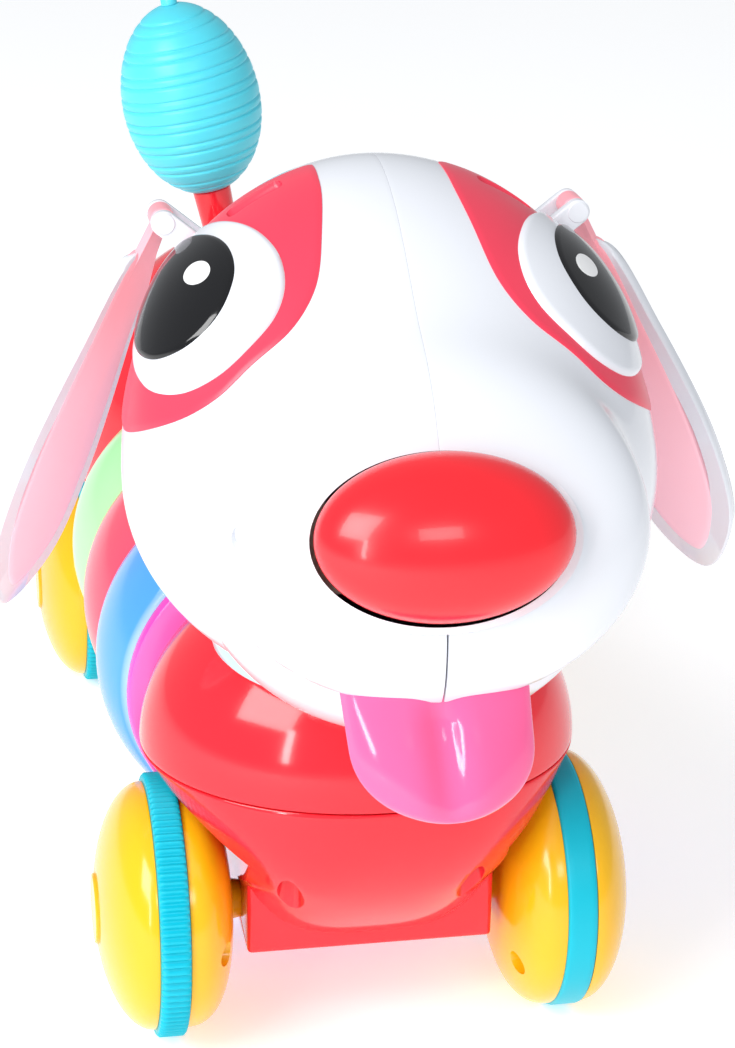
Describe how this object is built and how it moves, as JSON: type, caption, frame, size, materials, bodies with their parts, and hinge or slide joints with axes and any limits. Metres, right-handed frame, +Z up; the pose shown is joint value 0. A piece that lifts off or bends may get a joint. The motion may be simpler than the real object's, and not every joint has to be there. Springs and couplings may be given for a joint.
{
  "type": "wheeled robot dog toy",
  "caption": "Toy puppy on wheels with a big domed head, hinged ears, press-in nose, ringed body, geared rear axle and a wagging ball tail.",
  "frame": {"origin": "middle of the dog's bounding box, on the floor that its tyres stand on", "axes": "+Z up; the dog looks along -Y; +X is the dog's left"},
  "size_m": [0.1942, 0.3626, 0.2314],
  "materials": {
    "white_plastic": "high gloss",
    "coral_plastic": "gloss",
    "pupil_black": "high gloss",
    "tongue_pink": "glossy and slightly translucent",
    "ear_pink": "satin",
    "ball_blue": "satin",
    "wheel_yellow": "gloss",
    "tyre_teal": "satin",
    "ring_magenta": "gloss",
    "ring_blue": "gloss",
    "ring_red": "gloss",
    "ring_green": "gloss",
    "collar_blue": "gloss",
    "steel": "bright",
    "gear_plastic": "natural",
    "dark_plastic": "fine texture",
    "circuit_green": "lacquered",
    "cell_sleeve": "printed sleeve, no marks"
  },
  "bodies": {
    "body": {"chest_upper_shell": "coral_plastic", "chest_lower_shell": "coral_plastic", "core_tube": "white_plastic", "thin_ring": "ring_magenta", "front_ring": "ring_blue", "middle_ring": "ring_red", "rear_ring": "ring_green", "rump_upper_shell": "coral_plastic", "rump_lower_shell": "coral_plastic", "battery_door": "coral_plastic", "door_screw": "steel", "battery_box": "dark_plastic", "battery_cell_1": "cell_sleeve", "battery_cell_2": "cell_sleeve", "gearbox_frame": "dark_plastic", "motor": "steel", "speaker": "dark_plastic", "circuit_board": "circuit_green", "head_right_shell": "white_plastic", "head_left_shell": "white_plastic", "lower_jaw": "white_plastic", "tongue": "tongue_pink", "collar": "collar_blue", "nose_spring": "steel", "nose_bracket": "gear_plastic", "nose_switch": "dark_plastic", "right_eye_patch": "coral_plastic", "left_eye_patch": "coral_plastic", "right_eye_white": "white_plastic", "left_eye_white": "white_plastic", "right_pupil": "pupil_black", "left_pupil": "pupil_black", "right_ear_pin": "steel", "left_ear_pin": "steel", "tail_pin": "steel"},
    "front_wheels": {"front_axle": "steel", "front_right_wheel_tyre": "tyre_teal", "front_right_wheel_outer_dome": "wheel_yellow", "front_right_wheel_hub": "wheel_yellow", "front_left_wheel_tyre": "tyre_teal", "front_left_wheel_outer_dome": "wheel_yellow", "front_left_wheel_hub": "wheel_yellow"},
    "rear_wheels": {"rear_axle": "steel", "axle_gear": "gear_plastic", "rear_right_wheel_tyre": "tyre_teal", "rear_right_wheel_outer_dome": "wheel_yellow", "rear_right_wheel_hub": "wheel_yellow", "rear_left_wheel_tyre": "tyre_teal", "rear_left_wheel_outer_dome": "wheel_yellow", "rear_left_wheel_hub": "wheel_yellow"},
    "middle_gear": {"compound_gear": "gear_plastic"},
    "motor_shaft": {"motor_pinion": "steel"},
    "nose": {"nose_button": "coral_plastic"},
    "right_ear": {"right_ear_shell": "white_plastic", "right_ear_pad": "ear_pink"},
    "left_ear": {"left_ear_shell": "white_plastic", "left_ear_pad": "ear_pink"},
    "tail": {"tail_stalk": "coral_plastic", "tail_ball": "ball_blue"},
    "power_slider": {"switch_knob": "dark_plastic"}
  },
  "joints": [
    {"name": "front_wheels_roll", "type": "hinge", "parent": "body", "child": "front_wheels", "pos_m": [0, -0.0767, 0.0342], "axis": [1, 0, 0], "continuous": true},
    {"name": "rear_wheels_roll", "type": "hinge", "parent": "body", "child": "rear_wheels", "pos_m": [0, 0.1453, 0.0342], "axis": [1, 0, 0], "continuous": true},
    {"name": "middle_gear_spin", "type": "hinge", "parent": "body", "child": "middle_gear", "pos_m": [0.015, 0.13949, 0.05018], "axis": [1, 0, 0], "continuous": true},
    {"name": "motor_shaft_spin", "type": "hinge", "parent": "body", "child": "motor_shaft", "pos_m": [0.012, 0.1453, 0.06615], "axis": [1, 0, 0], "continuous": true},
    {"name": "nose_press", "type": "slide", "parent": "body", "child": "nose", "axis": [0, 0.8862, -0.4633], "range_m": [0, 0.0025], "stiffness_N_per_m": 400, "springref_m": -0.002},
    {"name": "right_ear_swing", "type": "hinge", "parent": "body", "child": "right_ear", "pos_m": [-0.05, -0.0717, 0.216], "axis": [0, 1, 0], "range_deg": [0, 55]},
    {"name": "left_ear_swing", "type": "hinge", "parent": "body", "child": "left_ear", "pos_m": [0.05, -0.0717, 0.216], "axis": [0, -1, 0], "range_deg": [0, 55]},
    {"name": "tail_wag", "type": "hinge", "parent": "body", "child": "tail", "pos_m": [-0.005, 0.1493, 0.144], "axis": [0, 1, 0], "range_deg": [-12, 12], "stiffness_Nm_per_rad": 0.5},
    {"name": "power_slide", "type": "slide", "parent": "body", "child": "power_slider", "axis": [1, 0, 0], "range_m": [0, 0.006]}
  ],
  "couplings": [
    {"joint": "middle_gear_spin", "follows": "rear_wheels_roll", "ratio": -2.4},
    {"joint": "motor_shaft_spin", "follows": "rear_wheels_roll", "ratio": 5.76}
  ]
}
